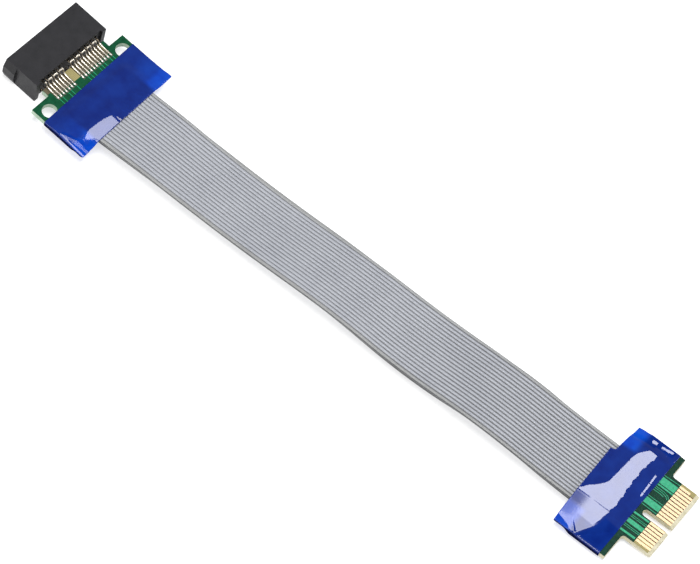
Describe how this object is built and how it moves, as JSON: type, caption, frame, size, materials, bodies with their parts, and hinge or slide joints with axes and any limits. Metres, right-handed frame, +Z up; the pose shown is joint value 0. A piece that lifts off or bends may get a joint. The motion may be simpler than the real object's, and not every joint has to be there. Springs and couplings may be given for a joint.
{
  "type": "pcie extension cable",
  "caption": "Short extension cable for an expansion card slot: a card slot on a small board, stacked flat ribbons and a keyed card-edge plug board, the joints wrapped in blue film.",
  "frame": {"origin": "centre of the slot housing's lower face, on the surface the cable lies on", "axes": "+X from the card slot towards the plug, square to the contact rows; +Y towards the long contact group; +Z up"},
  "size_m": [0.2022, 0.0498, 0.0075],
  "materials": {
    "black_moulding": "moulded, slight sheen",
    "contact_metal": "tinned",
    "finger_gold": "gold flash",
    "solder": "bright solder",
    "socket_mask": "green solder mask",
    "plug_mask": "dark green solder mask",
    "blue_film": "glossy film",
    "ribbon_grey": "ribbed"
  },
  "bodies": {
    "root": {"slot_housing": "black_moulding", "upper_contacts": "contact_metal", "lower_contacts": "contact_metal", "socket_board": "socket_mask", "plug_board": "plug_mask", "socket_tape": "blue_film", "plug_tape": "blue_film", "upper_ribbon": "ribbon_grey", "lower_ribbon": "ribbon_grey", "plug_upper_fingers": "finger_gold", "plug_lower_fingers": "finger_gold", "socket_upper_pads": "finger_gold", "socket_upper_solder": "solder", "socket_upper_wire_pads": "finger_gold", "socket_upper_wire_ends": "contact_metal", "socket_upper_wire_solder": "solder", "plug_upper_wire_pads": "finger_gold", "plug_upper_wire_ends": "contact_metal", "plug_upper_wire_solder": "solder", "socket_lower_pads": "finger_gold", "socket_lower_solder": "solder", "socket_lower_wire_pads": "finger_gold", "socket_lower_wire_ends": "contact_metal", "socket_lower_wire_solder": "solder", "plug_lower_wire_pads": "finger_gold", "plug_lower_wire_ends": "contact_metal", "plug_lower_wire_solder": "solder"}
  },
  "joints": []
}
